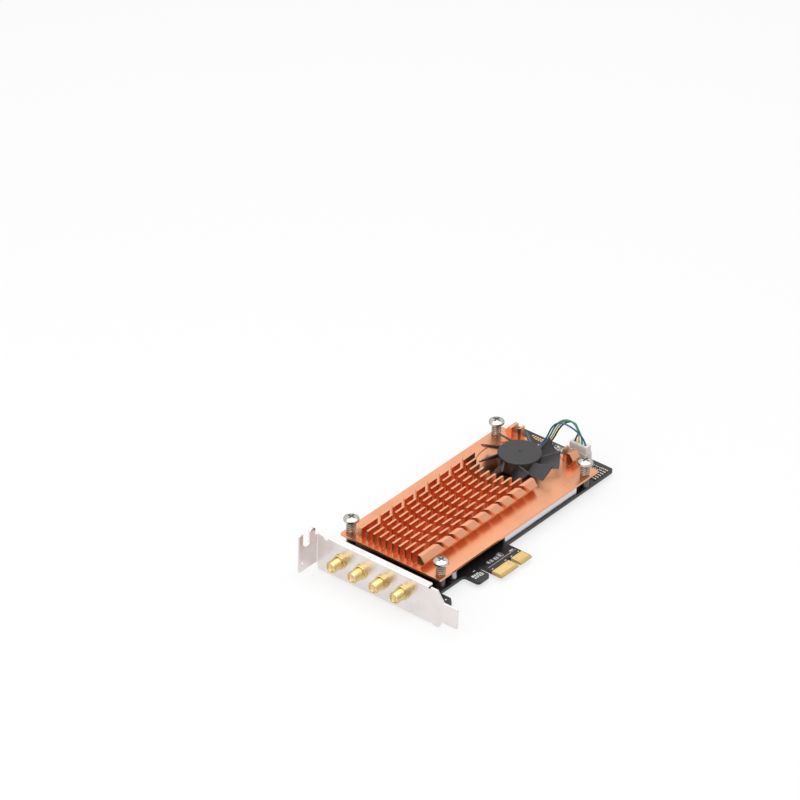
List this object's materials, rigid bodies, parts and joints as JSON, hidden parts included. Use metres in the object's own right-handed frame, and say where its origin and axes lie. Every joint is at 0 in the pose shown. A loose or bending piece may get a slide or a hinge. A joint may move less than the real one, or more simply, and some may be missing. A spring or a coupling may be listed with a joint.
{
  "type": "wireless network card",
  "caption": "Low-profile wireless expansion card with a pin-fin heatsink, spinning cooling fan, threaded antenna jacks, folded bracket and gold edge connector.",
  "frame": {"origin": "middle of the key notch on the contact edge, at the component face of the board", "axes": "+X from the bracket to the rear edge of the board, +Y from the contact edge to the screw tab, +Z out of the component face"},
  "size_m": [0.1557, 0.0806, 0.0251],
  "materials": {
    "black_board": "glossy solder mask",
    "gold": "gold plated",
    "nickel_sheet": "bright nickel plate",
    "white_insulator": "smooth",
    "copper_anodised": "copper-coloured anodised",
    "nickel_hardware": "nickel plate",
    "tinplate": "tin plate",
    "heat_pad": "soft pad",
    "chip_black": "moulded",
    "can_aluminium": "bare can",
    "fan_black": "moulded",
    "motor_steel": "plain",
    "magnet": "bonded magnet",
    "bronze": "sintered",
    "winding": "enamelled wire",
    "driver_green": "solder mask",
    "nylon_white": "nylon",
    "wire_blue": "insulation",
    "wire_green": "insulation",
    "wire_yellow": "insulation",
    "wire_black": "insulation",
    "ceramic_tan": "ceramic",
    "resistor_black": "glazed"
  },
  "bodies": {
    "card": {"antenna_jack_1": "gold", "antenna_jack_2": "gold", "antenna_jack_3": "gold", "antenna_jack_4": "gold", "board": "black_board", "bracket": "nickel_sheet", "chip_capacitors": "ceramic_tan", "chip_pad": "heat_pad", "chip_resistors": "resistor_black", "crystal": "tinplate", "edge_contacts": "gold", "fan_base": "fan_black", "fan_bearing": "bronze", "fan_driver_board": "driver_green", "fan_header": "nylon_white", "fan_plug": "nylon_white", "fan_wire_black": "wire_black", "fan_wire_blue": "wire_blue", "fan_wire_green": "wire_green", "fan_wire_yellow": "wire_yellow", "filter_capacitor": "can_aluminium", "flash_memory": "chip_black", "front_end_1": "chip_black", "front_end_2": "chip_black", "front_end_3": "chip_black", "front_end_4": "chip_black", "header_pins": "gold", "heatsink": "copper_anodised", "heatsink_pad": "heat_pad", "heatsink_screws": "nickel_hardware", "jack_contact_1": "gold", "jack_contact_2": "gold", "jack_contact_3": "gold", "jack_contact_4": "gold", "jack_insulator_1": "white_insulator", "jack_insulator_2": "white_insulator", "jack_insulator_3": "white_insulator", "jack_insulator_4": "white_insulator", "jack_nuts": "gold", "jack_washers": "gold", "plug_contacts": "gold", "power_inductor": "chip_black", "radio_chip": "chip_black", "screw_springs": "nickel_hardware", "shield_can": "tinplate", "standoffs": "nickel_hardware", "stator_coil_1": "winding", "stator_coil_2": "winding", "stator_coil_3": "winding", "stator_coil_4": "winding", "stator_core": "motor_steel", "voltage_regulator": "chip_black"},
    "fan": {"fan_rotor": "fan_black", "rotor_yoke": "motor_steel", "rotor_magnet": "magnet", "rotor_shaft": "motor_steel"}
  },
  "joints": [
    {"name": "fan_spin", "type": "hinge", "parent": "card", "child": "fan", "pos_m": [0.0541, 0.04285, 0.007], "axis": [0, 0, 1], "continuous": true}
  ]
}
